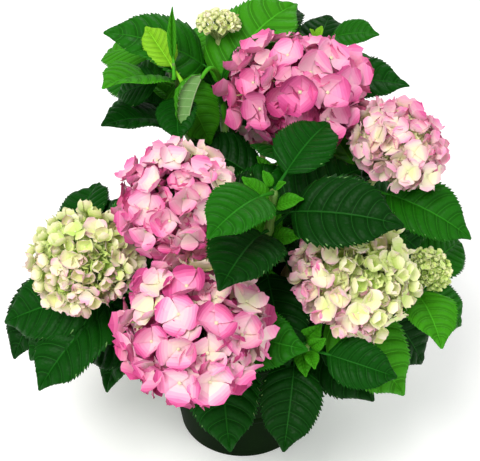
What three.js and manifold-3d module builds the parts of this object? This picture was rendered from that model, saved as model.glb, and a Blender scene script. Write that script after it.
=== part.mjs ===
// A bigleaf hydrangea in full bloom in its nursery pot: a pot filled with potting mix, seventeen stems
// that lean out of it, the leafy upper part of each stem, and twelve round flower heads.
// Millimetres, +Z up. The origin is the centre of the pot's flat underside, and the side with most
// blooms faces -Y.

import * as THREE from "three";
import { mergeVertices } from "three/addons/utils/BufferGeometryUtils.js";
import Module from "manifold-3d";

const wasm = await Module();
wasm.setup();

// Driving dimensions

const POT = {
  height: 145,
  rimRadius: 90, // over the rolled lip
  footRadius: 65,
  lip: 3.5, // how far the lip stands out of the wall, and half its height
  ledgeHeight: 58, // where the upper wall steps out over the lower one
  ledge: 2.5,
  wall: 2.4,
  floor: 3,
  facets: 32,
};
const MIX = { top: 128, clearance: 0.6 };
const JOINT_GAP = 0.3; // between a stem, its leafy part and its flower head
const STEM = { footRadius: 5, tipRadius: 3.4, foot: 0.27, rise: 0.42, run: 0.4 };
const NODE_SPACING = 38; // between two pairs of leaves
const YOUNG_SPACING = 22; // the same on a stem that ends in a leaf bud
const HEAD_NECK = 8; // from the highest pair of leaves up to where the flower head's stalk begins
const STEM_END = 12; // how far the leafy part runs below its lowest pair
const BARE_FOOT = 30; // the least height of bare stem above the mix

const LEAF = {
  petiole: 20,
  widthShare: 0.34, // half width over length
  thickness: 1.5,
  lift: 30, // degrees that a leaf sets off above square to its stem
  bend: 42, // degrees that it arches over its length
  fold: 14, // degrees that each half rises from the midrib
  stations: [0.18, 0.45, 0.76], // where the blade has a cross-section, besides its base and tip
};
// Ways that a leaf may turn round its stem and dip to find free room, in degrees, the first that fits.
const LEAF_TRIES = [
  [0, 0], [14, -8], [-14, -8], [0, -22], [0, 16], [24, -18], [-24, -18], [0, -42],
  [36, -10], [-36, -10], [20, -50], [-20, -50], [44, -36], [-44, -36], [0, -70], [36, -72], [-36, -72],
];
const LEAF_SHARES = [0.98, 1, 0.92, 0.84]; // a leaf's length by its pair, from the second down
const CLEARANCE = 3; // how many times its own thickness a leaf keeps free

// One row per stem. azimuth: the way it leans, in degrees from +X. reach and height: its top, or the
// middle of its flower head. lean: degrees from upright at the top. head: the flower head's radius.
// stalk: from its middle down to the highest pair of leaves. pairs: of leaves. turn and lift: of the
// highest pair, in degrees from the way the stem leans and above square to it. leaf: the longest
// leaf. top: the highest pair's length over that.
const SHOOTS = [
  { name: "crown_pink", azimuth: 52, reach: 79, height: 350, lean: 12, head: 62, stalk: 60,
    pairs: 4, turn: 28, lift: 32, leaf: 85, top: 0.9 },
  { name: "right_blush", azimuth: 5, reach: 139, height: 325, lean: 24, head: 43, stalk: 46,
    pairs: 4, turn: -53, lift: 45, leaf: 104, top: 0.9 },
  { name: "left_pink", azimuth: 232, reach: 88, height: 323, lean: 36, head: 49, stalk: 50,
    pairs: 4, turn: 50, lift: 26, leaf: 83, top: 0.8 },
  { name: "left_green", azimuth: 205, reach: 154, height: 255, lean: 19, head: 48, stalk: 50,
    pairs: 4, turn: -10, lift: 38, leaf: 108, top: 0.92 },
  { name: "front_pink", azimuth: 254, reach: 147, height: 243, lean: 38, head: 60, stalk: 60,
    pairs: 4, turn: 95, lift: 40, leaf: 98, top: 0.8 },
  { name: "right_cream", azimuth: 315, reach: 133, height: 262, lean: 34, head: 53, stalk: 52,
    pairs: 4, turn: 5, lift: 30, leaf: 110, top: 0.95 },
  { name: "right_bud", azimuth: 343, reach: 176, height: 235, lean: 35, head: 19, stalk: 26,
    pairs: 4, turn: 80, lift: 42, leaf: 82, top: 0.89 },
  { name: "back_bud", azimuth: 102, reach: 113, height: 398, lean: 4, head: 19, stalk: 48,
    pairs: 3, turn: -76, lift: 46, leaf: 113, top: 0.97 },
  { name: "back_pink", azimuth: 82, reach: 182, height: 250, lean: 46, head: 45, stalk: 46,
    pairs: 4, turn: 127, lift: 56, leaf: 93, top: 0.9 },
  { name: "back_left_pink", azimuth: 109, reach: 152, height: 170, lean: 62, head: 45, stalk: 44,
    pairs: 3, turn: -9, lift: 36, leaf: 94, top: 0.8 },
  { name: "back_right_cream", azimuth: 42, reach: 190, height: 215, lean: 49, head: 42, stalk: 43,
    pairs: 4, turn: 103, lift: 54, leaf: 104, top: 0.92 },
  { name: "far_left_green", azimuth: 155, reach: 172, height: 152, lean: 66, head: 40, stalk: 42,
    pairs: 3, turn: 28, lift: 20, leaf: 112, top: 0.65 },
  { name: "centre_leafy", azimuth: 287, reach: 85, height: 345, lean: 6, head: 0, stalk: 4,
    pairs: 5, turn: 138, lift: 33, leaf: 96, top: 0.74 },
  { name: "back_leafy", azimuth: 66, reach: 176, height: 355, lean: 12, head: 0, stalk: 4,
    pairs: 5, turn: -102, lift: 33, leaf: 88, top: 0.55 },
  { name: "back_left_leafy", azimuth: 122, reach: 135, height: 361, lean: 22, head: 0, stalk: 4,
    pairs: 4, turn: -150, lift: 16, leaf: 91, top: 0.79 },
  { name: "front_leafy", azimuth: 294, reach: 140, height: 209, lean: 54, head: 0, stalk: 4,
    pairs: 3, turn: 55, lift: 44, leaf: 76, top: 0.83 },
  { name: "left_leafy", azimuth: 178, reach: 165, height: 198, lean: 45, head: 0, stalk: 4,
    pairs: 4, turn: 64, lift: 22, leaf: 89, top: 1 },
];

const material = (color, roughness) => new THREE.MeshStandardMaterial({ color, roughness, metalness: 0 });
const FINISH = {
  pot: material(0x26301c, 0.55),
  mix: material(0x2c1f14, 0.95),
  stem: material(0x5d7a34, 0.6),
  foliage: material(0x1f6b1c, 0.45),
  bloom: material(0xe58bb4, 0.7),
  bud: material(0xcfe08a, 0.7),
};

// Solids

// A closed geometry as a manifold-3d solid.
function solid(geometry) {
  const bare = geometry.clone();
  bare.deleteAttribute("normal");
  bare.deleteAttribute("uv");
  const merged = mergeVertices(bare, 1e-4);
  return new wasm.Manifold(
    new wasm.Mesh({
      numProp: 3,
      vertProperties: merged.attributes.position.array,
      triVerts: new Uint32Array(merged.index.array),
    }),
  );
}

function geometryOf(points, triangles) {
  const geometry = new THREE.BufferGeometry();
  geometry.setAttribute("position", new THREE.Float32BufferAttribute(points.flatMap((p) => p.toArray()), 3));
  geometry.setIndex(triangles.flat());
  return geometry;
}

function meshOf(name, body, finish) {
  const { vertProperties, triVerts } = body.getMesh();
  const geometry = new THREE.BufferGeometry();
  geometry.setAttribute("position", new THREE.BufferAttribute(vertProperties, 3));
  geometry.setIndex(new THREE.BufferAttribute(triVerts, 1));
  const mesh = new THREE.Mesh(geometry, finish);
  mesh.name = name;
  return mesh;
}

// A skin over rings of equally many points, each closed by a fan to its own end point.
function skin(rings, start, end) {
  const sides = rings[0].length;
  const points = [...rings.flat(), start, end];
  const triangles = [];
  const at = (ring, side) => ring * sides + (side % sides);
  for (let side = 0; side < sides; side += 1) {
    triangles.push([rings.length * sides, at(0, side + 1), at(0, side)]);
    for (let ring = 0; ring + 1 < rings.length; ring += 1) {
      triangles.push([at(ring, side), at(ring, side + 1), at(ring + 1, side + 1)]);
      triangles.push([at(ring, side), at(ring + 1, side + 1), at(ring + 1, side)]);
    }
    triangles.push([rings.length * sides + 1, at(rings.length - 1, side), at(rings.length - 1, side + 1)]);
  }
  return geometryOf(points, triangles);
}

// Directions and small sums

const radians = (degrees) => (degrees * Math.PI) / 180;
const UP = new THREE.Vector3(0, 0, 1);
const SUN = new THREE.Vector3(-0.2, -0.62, 0.76); // the light stands above and in front
const along = (...terms) =>
  terms.reduce((sum, [vector, share]) => sum.addScaledVector(vector, share), new THREE.Vector3());
const heading = (azimuth) => new THREE.Vector3(Math.cos(radians(azimuth)), Math.sin(radians(azimuth)), 0);

// A number from 0 to 1 that depends only on its whole-number keys.
function chance(...keys) {
  let hash = 2166136261;
  for (const key of keys) {
    hash = Math.imul(hash ^ key, 16777619) >>> 0;
    hash = Math.imul(hash ^ (hash >>> 13), 1540483477) >>> 0;
    hash = (hash ^ (hash >>> 15)) >>> 0;
  }
  return hash / 4294967296;
}
const spread = (range, ...keys) => range * (2 * chance(...keys) - 1);

// Stems

// The line of a stem: it rises from the mix and leans out to its top.
function stemLine({ azimuth, reach, height, lean }) {
  const out = heading(azimuth);
  const foot = along([out, reach * STEM.foot], [UP, MIX.top + JOINT_GAP]);
  const top = along([out, reach], [UP, height]);
  const span = foot.distanceTo(top);
  const topWay = along([out, Math.sin(radians(lean))], [UP, Math.cos(radians(lean))]);
  const line = new THREE.CubicBezierCurve3(
    foot,
    along([foot, 1], [UP, span * STEM.rise]),
    along([top, 1], [topWay, -span * STEM.run]),
    top,
  );
  return { line, length: line.getLength(), sideways: heading(azimuth + 90) };
}

// The place on a stem that lies a distance below its top, with the directions there.
function placeOn({ line, length, sideways }, below) {
  const share = 1 - below / length;
  const way = line.getTangent(share);
  const side = along([sideways, 1], [way, -sideways.dot(way)]).normalize();
  return { point: line.getPoint(share), way, side, out: side.clone().cross(way), share };
}

// A tapering limb along a stem, between two distances below its top.
function limb(stem, from, to, steps, sides) {
  const rings = [];
  const ends = [];
  for (let step = 0; step <= steps; step += 1) {
    const place = placeOn(stem, from + ((to - from) * step) / steps);
    const radius = STEM.footRadius + (STEM.tipRadius - STEM.footRadius) * place.share;
    const corner = (index) => (2 * Math.PI * index) / sides;
    rings.push(
      Array.from({ length: sides }, (_, index) =>
        along(
          [place.point, 1],
          [place.out, radius * Math.cos(corner(index))],
          [place.side, radius * Math.sin(corner(index))],
        ),
      ),
    );
    ends.push(place.point);
  }
  return solid(skin(rings, ends[0], ends[steps]));
}

// Where a stem's stretches begin and end, as distances below its top, with the pairs that it has
// room for.
function stretches(shoot, stem) {
  const step = shoot.head ? NODE_SPACING : YOUNG_SPACING;
  const pairs = Array.from({ length: shoot.pairs }, (_, pair) => shoot.stalk + pair * step)
    .filter((below) => below + STEM_END + BARE_FOOT < stem.length);
  return {
    pairs,
    neck: shoot.head ? shoot.stalk - HEAD_NECK : 0,
    leafyEnd: pairs[pairs.length - 1] + STEM_END,
  };
}

// Leaves

// How a leaf sets off from its stem: its base, its way, the side to its left and its upper face.
function leafPose(stem, shoot, row, pair, twin, below, [turnBy, dipBy]) {
  const place = placeOn(stem, below);
  const turn = radians(shoot.turn + 90 * pair + 180 * twin + spread(9, row, pair, twin, 1) + turnBy);
  const start = pair ? LEAF.lift : shoot.lift;
  const lift = radians(start + spread(8, row, pair, twin, 2) + dipBy);
  const radial = along([place.out, Math.cos(turn)], [place.side, Math.sin(turn)]);
  const way = along([radial, Math.cos(lift)], [place.way, Math.sin(lift)]);
  const square = along([place.way, Math.cos(lift)], [radial, -Math.sin(lift)]);
  // The upper face turns part of the way from square to the stem towards the light.
  const light = along([square, 0.55], [SUN, 1]);
  const face = along([light, 1], [way, -light.dot(way)]).normalize();
  return { root: place.point, way, face, left: face.clone().cross(way) };
}

const leafLength = (shoot, row, pair, twin) =>
  shoot.leaf * (pair ? LEAF_SHARES[pair - 1] : shoot.top) * (1 + spread(0.07, row, pair, twin, 3));

// Half a blade's width at a share of its length: broad below the middle, drawn out to a point.
const outline = (share) => Math.sin(Math.PI * share ** 0.72) ** 0.8 * (1 - 0.25 * share);

// A place on the midrib with the directions there. The blade arches evenly from its base.
function midrib({ root, way, face }, length, share) {
  const bend = radians(LEAF.bend);
  const base = along([root, 1], [way, LEAF.petiole]);
  return {
    point: along(
      [base, 1],
      [way, (length * Math.sin(bend * share)) / bend],
      [face, (-length * (1 - Math.cos(bend * share))) / bend],
    ),
    face: along([face, Math.cos(bend * share)], [way, Math.sin(bend * share)]),
  };
}

// A leaf, with its stalk or as the bare blade, four corners to a cross-section.
function leaf(pose, length, { swell = 1, stalked = true } = {}) {
  const half = (LEAF.thickness / 2) * swell;
  const fold = radians(LEAF.fold);
  const section = (point, face, width) => [
    along([point, 1], [pose.left, width * Math.cos(fold)], [face, width * Math.sin(fold)]),
    along([point, 1], [face, half]),
    along([point, 1], [pose.left, -width * Math.cos(fold)], [face, width * Math.sin(fold)]),
    along([point, 1], [face, -half]),
  ];
  const base = midrib(pose, length, 0);
  const tip = midrib(pose, length, 1);
  const rings = [
    section(base.point, base.face, 1.6),
    ...LEAF.stations.map((share) => {
      const { point, face } = midrib(pose, length, share);
      return section(point, face, length * LEAF.widthShare * outline(share));
    }),
  ];
  if (stalked) rings.unshift(section(pose.root, pose.face, 1.3));
  return solid(skin(rings, stalked ? pose.root : base.point, tip.point));
}

// Flower heads

const HEAD = {
  florets: 3, // in a row across one of the five sides that bear them, one fewer on a head in bud
  budRadius: 30,
  squash: 0.86, // height over width above the middle
  underside: 0.64, // and below it
  crease: 0.78, // between two florets, as shares of the head's radius
  eye: 0.86, // and at a floret's middle
  share: 0.84, // a floret's width over the room it has
  ruffle: 0.07, // how far a sepal's tip stands in or out
  stray: 0.14, // how far the corners between florets wander
  spin: 9,
};
const CUBE_SIDES = [
  [[0, 0, 1], [1, 0, 0], [0, 1, 0]],
  [[1, 0, 0], [0, 1, 0], [0, 0, 1]],
  [[-1, 0, 0], [0, 0, 1], [0, 1, 0]],
  [[0, 1, 0], [0, 0, 1], [1, 0, 0]],
  [[0, -1, 0], [1, 0, 0], [0, 0, 1]],
  [[0, 0, -1], [0, 1, 0], [1, 0, 0]],
].map((side) => side.map((axis) => new THREE.Vector3(...axis)));

// The four corners of each cell of a ball laid out as a cube, anticlockwise from outside.
function cells(across, row) {
  const stray = (corner, axis) => {
    const keys = corner.toArray().map((part) => Math.round(1000 * part));
    return spread(HEAD.stray, row, axis, ...keys);
  };
  return CUBE_SIDES.flatMap(([normal, right, up], side) => {
    const corner = (column, line) => {
      const even = along(
        [normal, 1],
        [right, Math.tan((Math.PI / 4) * ((2 * column) / across - 1))],
        [up, Math.tan((Math.PI / 4) * ((2 * line) / across - 1))],
      ).normalize();
      return new THREE.Vector3(...[0, 1, 2].map((axis) => stray(even, axis))).add(even).normalize();
    };
    return Array.from({ length: across * across }, (_, cell) => {
      const column = cell % across;
      const line = (cell - column) / across;
      const corners = [[0, 0], [1, 0], [1, 1], [0, 1]].map(([x, y]) => corner(column + x, line + y));
      return { corners, bears: side < 5 };
    });
  });
}

// A floret over its cell: four cupped sepals whose edge stands out beyond the crease round them.
function floret(corners, radius, spin, ruffles) {
  const eye = along(...corners.map((corner) => [corner, 1])).normalize();
  const foot = corners.map((corner) => along([corner, radius * HEAD.crease]));
  const sepals = corners.map((corner, index) => {
    const reach = along([corner, HEAD.share], [eye, -HEAD.share]).applyAxisAngle(eye, spin);
    return along([eye, 1], [reach, 1]).setLength(radius * (1 + ruffles[index]));
  });
  const middle = along([eye, radius * HEAD.eye]);
  return [0, 1, 2, 3].flatMap((index) => {
    const next = (index + 1) % 4;
    return [
      [foot[index], foot[next], sepals[next]],
      [foot[index], sepals[next], sepals[index]],
      [sepals[index], sepals[next], middle],
    ];
  });
}

// A flower head: florets all over a ball, bare beneath, where its stalk enters.
function flowerHead(shoot, row, stem) {
  const across = shoot.head < HEAD.budRadius ? HEAD.florets - 1 : HEAD.florets;
  const triangles = cells(across, row).flatMap(({ corners, bears }, cell) => {
    if (!bears) {
      const [a, b, c, d] = corners.map((corner) => along([corner, shoot.head * HEAD.crease]));
      return [[a, b, c], [a, c, d]];
    }
    const ruffles = [0, 1, 2, 3].map((sepal) => spread(HEAD.ruffle, row, cell, sepal, 5));
    return floret(corners, shoot.head, radians(spread(HEAD.spin, row, cell, 6)), ruffles);
  });
  const { point: centre, way, side, out } = placeOn(stem, 0);
  const placed = triangles.flat().map(({ x, y, z }) =>
    along([centre, 1], [out, x], [side, y], [way, z * (z > 0 ? HEAD.squash : HEAD.underside)]),
  );
  const faces = triangles.map((_, index) => [3 * index, 3 * index + 1, 3 * index + 2]);
  const stalk = limb(stem, stretches(shoot, stem).neck, shoot.head * 0.3, 1, 5);
  return solid(geometryOf(placed, faces)).add(stalk);
}

// Pot and mix

function lathe(profile) {
  const points = profile.map(([radius, height]) => new THREE.Vector2(radius, height));
  return solid(new THREE.LatheGeometry(points, POT.facets).rotateX(Math.PI / 2));
}

// The outer wall's radius at a height, below the ledge or above it.
const wallRadius = (height) =>
  POT.footRadius +
  ((POT.rimRadius - POT.lip - POT.ledge - POT.footRadius) * height) / POT.height +
  (height > POT.ledgeHeight ? POT.ledge : 0);

function pot() {
  const { height, rimRadius, footRadius, lip, ledgeHeight, wall, floor } = POT;
  const under = height - 2 * lip;
  return lathe([
    [0, 0],
    [footRadius - 2, 0],
    [footRadius, 2],
    [wallRadius(ledgeHeight - 2), ledgeHeight - 2],
    [wallRadius(ledgeHeight + 1), ledgeHeight + 1],
    [wallRadius(under - 1), under - 1],
    [rimRadius, under + 1],
    [rimRadius, height - 2],
    [rimRadius - 2, height],
    [wallRadius(height) - wall, height - 1],
    [wallRadius(ledgeHeight + 1) - wall, ledgeHeight + 4],
    [wallRadius(ledgeHeight - 2) - wall, ledgeHeight],
    [footRadius - wall + 0.5, floor],
    [0, floor],
  ]);
}

function pottingMix() {
  const { ledgeHeight, wall, floor } = POT;
  const inset = wall + MIX.clearance;
  return lathe([
    [0, floor + JOINT_GAP],
    [POT.footRadius - inset, floor + JOINT_GAP],
    [wallRadius(ledgeHeight - 2) - inset, ledgeHeight],
    [wallRadius(ledgeHeight + 1) - inset, ledgeHeight + 4],
    [wallRadius(MIX.top) - inset, MIX.top],
    [0, MIX.top],
  ]);
}

// Assembly

const root = new THREE.Group();
const boxed = (body) => ({ body, box: body.boundingBox() });
const taken = []; // what a leaf has to stay clear of, with the row of the stem that each belongs to

function take(body, row) {
  taken.push({ ...boxed(body), row });
  return body;
}

function meet(one, other) {
  const boxesApart = [0, 1, 2].some(
    (axis) => one.box.max[axis] < other.box.min[axis] || other.box.max[axis] < one.box.min[axis],
  );
  return !boxesApart && !one.body.intersect(other.body).isEmpty();
}

// The first of its tries in which a leaf meets nothing of another stem and no blade of its own.
function freePose(poseFor, length, row, blades) {
  for (const step of LEAF_TRIES) {
    const pose = poseFor(step);
    const blade = boxed(leaf(pose, length, { swell: CLEARANCE, stalked: false }));
    if (blades.some((other) => meet(blade, other))) continue;
    const whole = boxed(leaf(pose, length, { swell: CLEARANCE }));
    if (taken.some((other) => other.row !== row && meet(whole, other))) continue;
    blades.push(blade);
    return pose;
  }
  return null;
}

root.add(meshOf("pot", take(pot()), FINISH.pot));
root.add(meshOf("potting_mix", take(pottingMix()), FINISH.mix));

const shoots = SHOOTS.map((shoot, row) => {
  const stem = stemLine(shoot);
  const { neck, leafyEnd, pairs } = stretches(shoot, stem);
  const cane = take(limb(stem, stem.length, leafyEnd + JOINT_GAP, 4, 5));
  root.add(meshOf("stem_" + shoot.name, cane, FINISH.stem));
  if (shoot.head) {
    const head = take(flowerHead(shoot, row, stem));
    const finish = shoot.head < HEAD.budRadius ? FINISH.bud : FINISH.bloom;
    root.add(meshOf("flower_" + shoot.name, head, finish));
  }
  const leafyStem = take(limb(stem, leafyEnd, neck + (shoot.head ? JOINT_GAP : 0), 3, 5), row);
  return { shoot, stem, pairs, leafyStem };
});

shoots.forEach(({ shoot, stem, pairs, leafyStem }, row) => {
  const leaves = [];
  const blades = [];
  pairs.forEach((below, pair) => {
    for (const twin of [0, 1]) {
      const length = leafLength(shoot, row, pair, twin);
      const poseFor = (step) => leafPose(stem, shoot, row, pair, twin, below, step);
      const pose = freePose(poseFor, length, row, blades);
      if (pose) leaves.push(take(leaf(pose, length), row));
    }
  });
  root.add(meshOf("leaves_" + shoot.name, wasm.Manifold.union([leafyStem, ...leaves]), FINISH.foliage));
});

export default root;
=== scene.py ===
"""A bigleaf hydrangea in full bloom in its nursery pot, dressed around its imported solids.

Stems, leaves and flower heads grow by the same sizes and the same rule as the solids, in
millimetres, and every mesh is made in metres. The pot stands on the floor at the origin.
"""

import math

import bpy
import numpy as np
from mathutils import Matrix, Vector
from mathutils.kdtree import KDTree


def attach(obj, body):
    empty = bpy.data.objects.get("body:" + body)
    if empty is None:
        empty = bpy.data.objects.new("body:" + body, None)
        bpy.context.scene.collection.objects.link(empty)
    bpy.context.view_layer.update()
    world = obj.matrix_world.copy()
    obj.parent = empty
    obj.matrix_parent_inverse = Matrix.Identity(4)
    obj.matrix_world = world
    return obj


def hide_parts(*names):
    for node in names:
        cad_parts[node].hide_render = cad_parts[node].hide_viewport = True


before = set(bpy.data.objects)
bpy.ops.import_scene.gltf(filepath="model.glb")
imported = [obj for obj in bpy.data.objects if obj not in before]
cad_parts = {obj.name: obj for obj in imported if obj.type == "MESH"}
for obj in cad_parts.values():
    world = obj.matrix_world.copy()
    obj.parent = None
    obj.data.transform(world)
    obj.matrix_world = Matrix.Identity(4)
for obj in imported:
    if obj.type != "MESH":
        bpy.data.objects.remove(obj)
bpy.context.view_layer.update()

MM = 0.001

# Named sizes, as in the solids

POT = dict(height=145, rim=90, foot=65, lip=3.5, ledge_height=58, ledge=2.5, wall=2.4, floor=3)
MIX_TOP = 128
JOINT_GAP = 0.3
STEM = dict(foot_radius=5, tip_radius=3.4, foot=0.27, rise=0.42, run=0.4)
NODE_SPACING = 38
YOUNG_SPACING = 22
HEAD_NECK = 8
STEM_END = 12
BARE_FOOT = 30
PETIOLE = 20
WIDTH_SHARE = 0.36
LIFT = 30
BEND = math.radians(42)
FOLD = math.radians(14)
LEAF_TRIES = [
    (0, 0), (14, -8), (-14, -8), (0, -22), (0, 16), (24, -18), (-24, -18), (0, -42), (36, -10),
    (-36, -10), (20, -50), (-20, -50), (44, -36), (-44, -36), (0, -70), (36, -72), (-36, -72),
]
LEAF_SHARES = [0.98, 1, 0.92, 0.84]
SHOOT_KEYS = "name azimuth reach height lean head stalk pairs turn lift leaf top".split()
SHOOTS = [
    ("crown_pink", 52, 79, 350, 12, 62, 60, 4, 28, 32, 85, 0.9),
    ("right_blush", 5, 139, 325, 24, 43, 46, 4, -53, 45, 104, 0.9),
    ("left_pink", 232, 88, 323, 36, 49, 50, 4, 50, 26, 83, 0.8),
    ("left_green", 205, 154, 255, 19, 48, 50, 4, -10, 38, 108, 0.92),
    ("front_pink", 254, 147, 243, 38, 60, 60, 4, 95, 40, 98, 0.8),
    ("right_cream", 315, 133, 262, 34, 53, 52, 4, 5, 30, 110, 0.95),
    ("right_bud", 343, 176, 235, 35, 19, 26, 4, 80, 42, 82, 0.89),
    ("back_bud", 102, 113, 398, 4, 19, 48, 3, -76, 46, 113, 0.97),
    ("back_pink", 82, 182, 250, 46, 45, 46, 4, 127, 56, 93, 0.9),
    ("back_left_pink", 109, 152, 170, 62, 45, 44, 3, -9, 36, 94, 0.8),
    ("back_right_cream", 42, 190, 215, 49, 42, 43, 4, 103, 54, 104, 0.92),
    ("far_left_green", 155, 172, 152, 66, 40, 42, 3, 28, 20, 112, 0.65),
    ("centre_leafy", 287, 85, 345, 6, 0, 4, 5, 138, 33, 96, 0.74),
    ("back_leafy", 66, 176, 355, 12, 0, 4, 5, -102, 33, 88, 0.55),
    ("back_left_leafy", 122, 135, 361, 22, 0, 4, 4, -150, 16, 91, 0.79),
    ("front_leafy", 294, 140, 209, 54, 0, 4, 3, 55, 44, 76, 0.83),
    ("left_leafy", 178, 165, 198, 45, 0, 4, 4, 64, 22, 89, 1),
]
SHOOTS = [dict(zip(SHOOT_KEYS, row)) for row in SHOOTS]

# The size and green of the youngest pair at a leafy stem's tip.
TIP_LEAVES = {
    "centre_leafy": (13, 3), "back_leafy": (13, 4), "back_left_leafy": (18, 4),
    "front_leafy": (22, 3), "left_leafy": (30, 4),
}
# How much younger or older than the rest a stem's leaves are, in pairs.
YOUTH = dict(
    back_leafy=1.4, back_left_leafy=2.1, right_blush=1.5, right_cream=0.7, right_bud=0.9,
    left_green=-0.7, left_leafy=-0.7,
)
# Young pairs in the angles of leaves: how often, how far above the leaf, the least size and by how
# much it grows, the green, the turn and the lift. At a stem's tip: how far below it, and the lift.
ANGLE_PAIR = dict(chance=0.5, above=6, size=26, growth=10, green=3, turn=12, lift=52)
TIP_PAIR = dict(below=3, turn=90, lift=66)
YOUNG_PETIOLE = 5
YOUNG_LEAF = dict(width_share=0.3, bend=math.radians(20), fold=math.radians(32), thickness=0.4)
# Single leaves beside the pairs: how far below the stem's top, the turn and lift as for a pair, the
# length, the green and the kind.
SIDE_LEAVES = {
    "left_green": [(52, 330, 50, 104, 1, "open"), (56, 14, 42, 104, 1, "open")],
    "right_bud": [(30, 12, 30, 66, 2, "open")],
    "back_bud": [(76, 24, 56, 70, 1, "open")],
    "back_left_leafy": [(30, 12, 22, 84, 2, "open")],
    "back_leafy": [(36, 12, 60, 74, 0, "open")],
}
LEAF_KINDS = {
    "open": dict(width_share=WIDTH_SHARE, bend=math.radians(36), fold=FOLD),
    "unfolding": dict(width_share=WIDTH_SHARE, bend=math.radians(22), fold=math.radians(30)),
    "rolled": dict(width_share=0.16, bend=math.radians(10), fold=math.radians(60)),
    "closed": dict(width_share=0.5, fold=math.radians(74)),
}
# The young shoot in the angle of a leaf: the stem it grows from and how far below its top, its own
# top and its way there, and its leaves as above.
SIDE_SHOOT = dict(
    on="back_left_leafy", below=44, top=(-63, 54, 387), rise=(-0.15, -0.2, 0.95),
    foot_radius=2.6, tip_radius=1.6,
    leaves=[(8, 356, 24, 46, 4, "unfolding"), (2, 316, 40, 48, 3, "rolled"),
            (20, 54, -26, 56, 1, "open"), (40, 148, 42, 54, 1, "open")],
)
# Leaves on long arched stalks: their stem and how far below its top, the stalk's end, the leaf's
# tip, the way its upper face looks, how far it bends, its green and its kind.
ARCHED_KEYS = "on below knee tip opens bend green kind".split()
ARCHED_LEAVES = [dict(zip(ARCHED_KEYS, row)) for row in [
    ("back_bud", 92, (-36, 46, 380), (-51, 21, 334), (-0.9, 0.1, 0.4), 22, 3, "closed"),
    ("back_bud", 84, (-23, 83, 350), (52, 151, 399), (-0.45, -0.6, 0.65), 60, 3, "open"),
    ("back_bud", 84, (-21, 75, 348), (44, 121, 384), (-0.7, 0.15, 0.7), 64, 2, "unfolding"),
]]

UP = np.array([0.0, 0.0, 1.0])
SUN = np.array([-0.2, -0.62, 0.76])


# Small sums

def unit(vector):
    return vector / np.linalg.norm(vector)


def heading(azimuth):
    return np.array([math.cos(math.radians(azimuth)), math.sin(math.radians(azimuth)), 0.0])


def chance(*keys):
    """A number from 0 to 1 that depends only on its whole-number keys."""
    value = 2166136261
    for key in keys:
        value = ((value ^ (key & 0xFFFFFFFF)) * 16777619) & 0xFFFFFFFF
        value = ((value ^ (value >> 13)) * 1540483477) & 0xFFFFFFFF
        value ^= value >> 15
    return value / 4294967296


def spread(reach, *keys):
    return reach * (2 * chance(*keys) - 1)


# Stems

def stem_line(shoot):
    out = heading(shoot["azimuth"])
    foot = out * shoot["reach"] * STEM["foot"] + UP * (MIX_TOP + JOINT_GAP)
    top = out * shoot["reach"] + UP * shoot["height"]
    span = np.linalg.norm(top - foot)
    lean = math.radians(shoot["lean"])
    top_way = out * math.sin(lean) + UP * math.cos(lean)
    bends = [foot, foot + UP * span * STEM["rise"], top - top_way * span * STEM["run"], top]
    points = np.array([bezier(bends, step / 200) for step in range(201)])
    length = np.linalg.norm(np.diff(points, axis=0), axis=1).sum()
    return dict(bends=bends, length=length, sideways=heading(shoot["azimuth"] + 90))


def bezier(bends, share):
    a, b, c, d = bends
    rest = 1 - share
    return a * rest**3 + 3 * b * rest**2 * share + 3 * c * rest * share**2 + d * share**3


def place_on(stem, below):
    """The point on a stem a distance below its top, its way there, and the two square to it."""
    share = 1 - below / stem["length"]
    low, high = max(share - 1e-4, 0), min(share + 1e-4, 1)
    way = unit(bezier(stem["bends"], high) - bezier(stem["bends"], low))
    sideways = stem["sideways"]
    side = unit(sideways - way * sideways.dot(way))
    return bezier(stem["bends"], share), way, side, np.cross(side, way), share


def side_shoot_line(stem):
    """The line of the young shoot, from its stem up to its own top."""
    foot, way, _, _, _ = place_on(stem, SIDE_SHOOT["below"])
    top = np.array(SIDE_SHOOT["top"], float)
    span = np.linalg.norm(top - foot)
    rise = unit(np.array(SIDE_SHOOT["rise"]))
    bends = [foot, foot + way * span * 0.25, top - rise * span * 0.4, top]
    points = np.array([bezier(bends, step / 60) for step in range(61)])
    length = np.linalg.norm(np.diff(points, axis=0), axis=1).sum()
    return dict(bends=bends, length=length, sideways=stem["sideways"])


def stretches(shoot, stem):
    """Where a stem's pairs of leaves and the foot of its flower stalk lie, below its top."""
    step = NODE_SPACING if shoot["head"] else YOUNG_SPACING
    pairs = [shoot["stalk"] + pair * step for pair in range(shoot["pairs"])]
    pairs = [below for below in pairs if below + STEM_END + BARE_FOOT < stem["length"]]
    neck = shoot["stalk"] - HEAD_NECK if shoot["head"] else 0
    return pairs, neck


# Leaves

def leaf_pose(stem, shoot, row, pair, twin, below, step):
    point, stem_way, side, out, _ = place_on(stem, below)
    stray = spread(9, row, pair, twin, 1)
    turn = math.radians(shoot["turn"] + 90 * pair + 180 * twin + stray + step[0])
    start = LIFT if pair else shoot["lift"]
    lift = math.radians(start + spread(8, row, pair, twin, 2) + step[1])
    radial = out * math.cos(turn) + side * math.sin(turn)
    way = radial * math.cos(lift) + stem_way * math.sin(lift)
    square = stem_way * math.cos(lift) - radial * math.sin(lift)
    light = square * 0.55 + SUN
    face = unit(light - way * light.dot(way))
    return dict(root=point, way=way, face=face, left=np.cross(face, way))


def leaf_length(shoot, row, pair, twin):
    share = LEAF_SHARES[pair - 1] if pair else shoot["top"]
    return shoot["leaf"] * share * (1 + spread(0.07, row, pair, twin, 3))


def outline(share):
    """Half a blade's width at a share of its length: broad below the middle, drawn out to a point."""
    drawn = np.clip((share - 0.78) / 0.22, 0, 1)
    return np.abs(np.sin(math.pi * share**0.8)) ** 0.7 * (1 - 0.12 * share) * (1 - 0.62 * drawn**0.8)


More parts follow.
